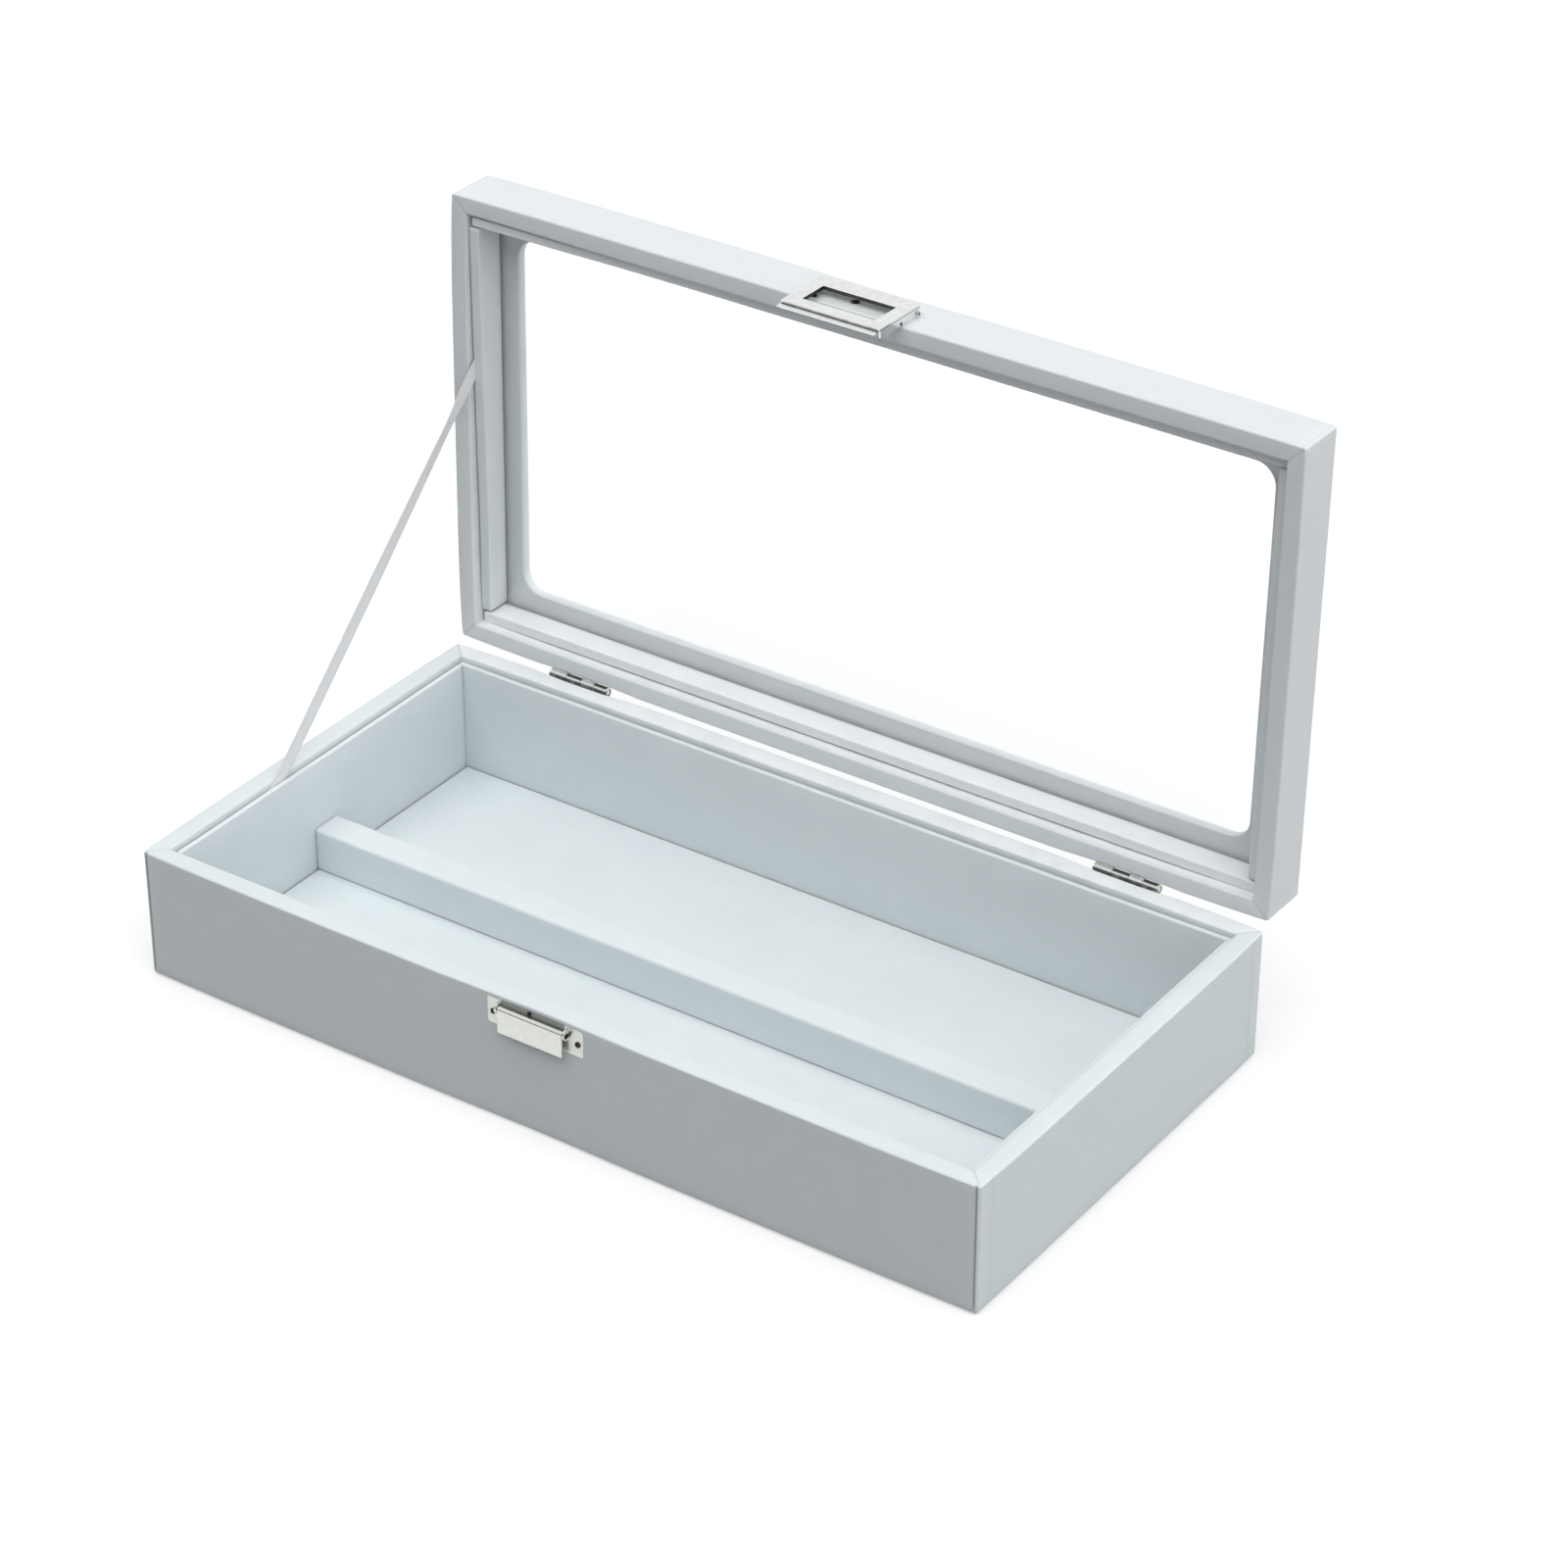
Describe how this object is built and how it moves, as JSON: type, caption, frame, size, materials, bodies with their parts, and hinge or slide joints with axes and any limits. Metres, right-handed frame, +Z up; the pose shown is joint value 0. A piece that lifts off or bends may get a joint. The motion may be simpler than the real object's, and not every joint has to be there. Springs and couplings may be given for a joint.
{
  "type": "glasses display box",
  "caption": "Open flat display box covered in pale grey-blue leather, with a windowed lid, a divided tray, a nickel clasp and a ribbon stay.",
  "frame": {"origin": "middle of the base's footprint, on the surface that the box stands on", "axes": "+X to the right along the front, +Y to the back where the hinges are, +Z up; the lid stands open"},
  "size_m": [0.34, 0.2048, 0.2323],
  "materials": {
    "leather": "satin",
    "board": "matte",
    "felt": "matte",
    "ribbon": "satin",
    "glass": "gloss",
    "nickel": "polished"
  },
  "bodies": {
    "base": {"base_front_board": "board", "base_back_board": "board", "base_left_board": "board", "base_right_board": "board", "base_bottom_panel": "board", "base_wrap": "leather", "bottom_lining": "felt", "base_front_liner": "leather", "base_back_liner": "leather", "base_left_liner": "leather", "base_right_liner": "leather", "floor_pad": "leather", "divider_bar": "leather", "left_hinge_base_leaf": "nickel", "right_hinge_base_leaf": "nickel", "left_hinge_pin": "nickel", "right_hinge_pin": "nickel", "hinge_base_screws": "nickel", "catch_plate": "nickel", "catch_pin": "nickel", "catch_screws": "nickel", "lid_stay": "ribbon"},
    "lid": {"lid_front_board": "board", "lid_back_board": "board", "lid_left_board": "board", "lid_right_board": "board", "lid_top_frame": "board", "lid_wrap": "leather", "lid_front_liner": "leather", "lid_back_liner": "leather", "lid_left_liner": "leather", "lid_right_liner": "leather", "window_pane": "glass", "left_hinge_lid_leaf": "nickel", "right_hinge_lid_leaf": "nickel", "hinge_lid_screws": "nickel", "clasp_plate": "nickel", "clasp_pin": "nickel", "clasp_screws": "nickel"},
    "hasp": {"hasp_frame": "nickel"},
    "flap": {"catch_flap": "nickel"}
  },
  "joints": [
    {"name": "lid_hinge", "type": "hinge", "parent": "base", "child": "lid", "pos_m": [0, 0.08975, 0.0502], "axis": [1, 0, 0], "range_deg": [0, 91.35], "deforming": ["lid_stay"]},
    {"name": "hasp_hinge", "type": "hinge", "parent": "lid", "child": "hasp", "pos_m": [-0.0013, 0.10327, 0.22918], "axis": [-1, 0, 0], "range_deg": [0, 54]},
    {"name": "flap_hinge", "type": "hinge", "parent": "base", "child": "flap", "pos_m": [-0.0022, -0.08905, 0.0456], "axis": [-1, 0, 0], "range_deg": [0, 115]}
  ]
}
